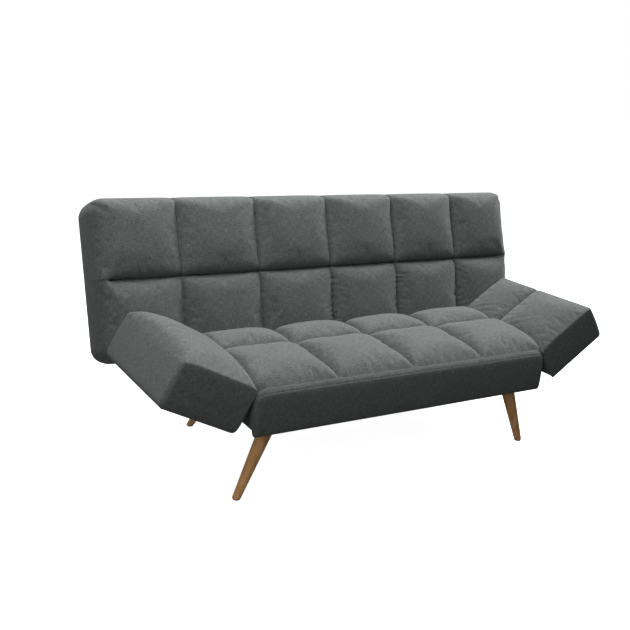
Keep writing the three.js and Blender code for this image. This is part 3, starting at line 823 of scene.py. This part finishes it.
def dust_cloth_material():
    """Pressed felt: short random fibres."""
    n = Nodes("black_felt")
    coordinates = n.add("ShaderNodeTexCoord")
    fibres = n.noise(coordinates.outputs["Object"], 900.0, 4.0, 0.7)
    color = n.ramp(fibres, (0.3, (0.008, 0.008, 0.009)), (0.7, (0.028, 0.028, 0.03)))
    n.link(color, n.shader.inputs["Base Color"])
    n.shader.inputs["Roughness"].default_value = 0.95
    n.bump(fibres, 0.3, 0.0006)
    return n.material


def plastic_material():
    n = Nodes("black_nylon")
    coordinates = n.add("ShaderNodeTexCoord")
    grain = n.noise(coordinates.outputs["Object"], 700.0, 2.0)
    color = n.ramp(grain, (0.3, (0.012, 0.012, 0.013)), (0.7, (0.03, 0.03, 0.031)))
    n.link(color, n.shader.inputs["Base Color"])
    n.shader.inputs["Roughness"].default_value = 0.55
    n.bump(grain, 0.15, 0.0003)
    return n.material


def paint(obj, material):
    obj.data.materials.clear()
    obj.data.materials.append(material)


def paint_frame(materials):
    """Every CAD node that stays gets the material of its slot."""
    slots = {s["node"]: s["material_slot"] for s in frame["record"]["subparts"]}
    for node, obj in frame["nodes"].items():
        paint(obj, materials[slots[node]])


# ----------------------------------------------------------------------- stage
LIGHTS = {  # name: (place, target, size, watts)
    "overhead_left": ((-0.7, -0.35, 2.5), (-0.2, -0.1, 0.4), (2.0, 1.6), 38),
    "overhead_rear": ((0.0, 0.9, 2.4), (0, 0, 0.5), (3.0, 1.0), 18),
    "high_right": ((3.5, 0.4, 3.4), (-0.2, 0, 0.4), (1.6, 1.6), 225),
    "front_left": ((-2.6, -2.6, 2.4), (0, 0, 0.5), (1.6, 1.6), 11),
    "left_window": ((-2.6, -1.5, 1.3), (-0.3, -0.1, 0.45), (1.2, 1.6), 10),
}
AMBIENT = 0.09
FLOOR_HALF = 30.0
FLOOR_GLOW = 0.95


def make_floor():
    mesh = bpy.data.meshes.new("floor")
    corners = [(-1, -1), (1, -1), (1, 1), (-1, 1)]
    points = [(x * FLOOR_HALF, y * FLOOR_HALF, 0) for x, y in corners]
    mesh.from_pydata(points, [], [(0, 1, 2, 3)])
    floor = bpy.data.objects.new("floor", mesh)
    bpy.context.scene.collection.objects.link(floor)
    n = Nodes("pale_floor")
    n.shader.inputs["Base Color"].default_value = (0.9, 0.9, 0.9, 1)
    n.shader.inputs["Roughness"].default_value = 0.8
    n.shader.inputs["Specular IOR Level"].default_value = 0.0
    n.shader.inputs["Emission Color"].default_value = (1, 1, 1, 1)
    n.shader.inputs["Emission Strength"].default_value = FLOOR_GLOW
    mesh.materials.append(n.material)
    floor.visible_diffuse = False  # the floor stays pale but doesn't light the fronts
    floor.visible_glossy = False


def area_light(name, place, target, size, power):
    light = bpy.data.lights.new(name, "AREA")
    light.shape = "RECTANGLE"
    light.size, light.size_y = size
    light.energy = power
    obj = bpy.data.objects.new(name, light)
    obj.location = place
    aim = Vector(target) - Vector(place)
    obj.rotation_euler = aim.to_track_quat("-Z", "Y").to_euler()
    bpy.context.scene.collection.objects.link(obj)


def make_stage():
    scene = bpy.context.scene
    scene.view_settings.view_transform = "Standard"
    world = bpy.data.worlds.new("studio")
    world.use_nodes = True
    nodes, links = world.node_tree.nodes, world.node_tree.links
    path = nodes.new("ShaderNodeLightPath")
    strength = nodes.new("ShaderNodeMix")
    links.new(path.outputs["Is Camera Ray"], strength.inputs["Factor"])
    strength.inputs["A"].default_value = AMBIENT
    strength.inputs["B"].default_value = 1.0
    nodes["Background"].inputs["Color"].default_value = (1, 1, 1, 1)
    links.new(strength.outputs["Result"], nodes["Background"].inputs["Strength"])
    scene.world = world
    make_floor()
    for name, (place, target, size, power) in LIGHTS.items():
        area_light(name, place, target, size, power)


def make_camera():
    camera = bpy.data.cameras.new("camera")
    camera.sensor_width = CAMERA_SENSOR
    camera.lens = CAMERA_LENS
    obj = bpy.data.objects.new("camera", camera)
    heading, dip, roll = (math.radians(v) for v in (CAMERA_HEADING, CAMERA_DIP, CAMERA_ROLL))
    turn = (
        Matrix.Rotation(-heading, 4, "Z")
        @ Matrix.Rotation(math.pi / 2 - dip, 4, "X")
        @ Matrix.Rotation(roll, 4, "Z")
    )
    obj.matrix_world = Matrix.Translation(CAMERA_PLACE) @ turn
    bpy.context.scene.collection.objects.link(obj)
    bpy.context.scene.camera = obj


# -------------------------------------------------------------------- assembly
make_camera()
make_stage()
FABRIC = fabric_material()
PINE = ((0.42, 0.27, 0.13), (0.60, 0.42, 0.23), (0.72, 0.55, 0.34))
PLYWOOD = ((0.38, 0.25, 0.13), (0.52, 0.37, 0.21), (0.62, 0.47, 0.29))
WALNUT = ((0.58, 0.26, 0.090), (0.88, 0.46, 0.180), (0.95, 0.58, 0.27))
WIRE = ((0.24, 0.25, 0.26), (0.4, 0.41, 0.42))
POWDER_COAT = ((0.012, 0.012, 0.013), (0.03, 0.03, 0.032))
ZINC = ((0.42, 0.43, 0.44), (0.62, 0.63, 0.64))
MATERIALS = {
    "upholstery_fabric": FABRIC,
    "frame_pine": wood_material("pine", *PINE, grain_axis=0, rough=0.6),
    "arm_board": wood_material("plywood", *PLYWOOD, grain_axis=1, rough=0.65),
    "spring_steel": metal_material("spring_wire", *WIRE, rough=0.35, metallic=1.0),
    "dust_cloth": dust_cloth_material(),
    "black_steel": metal_material("black_powder_coat", *POWDER_COAT, rough=0.5, metallic=0.0),
    "leg_walnut": wood_material("walnut", *WALNUT, grain_axis=2, rough=0.45),
    "black_plastic": plastic_material(),
    "zinc_steel": metal_material("zinc_plate", *ZINC, rough=0.32, metallic=1.0),
}
paint_frame(MATERIALS)
paint(make_seat(), FABRIC)
paint(make_back(), FABRIC)
paint(make_dust_cover(), MATERIALS["dust_cloth"])
for arm_word, arm_side in SIDES:
    paint(make_arm(arm_word, arm_side), FABRIC)
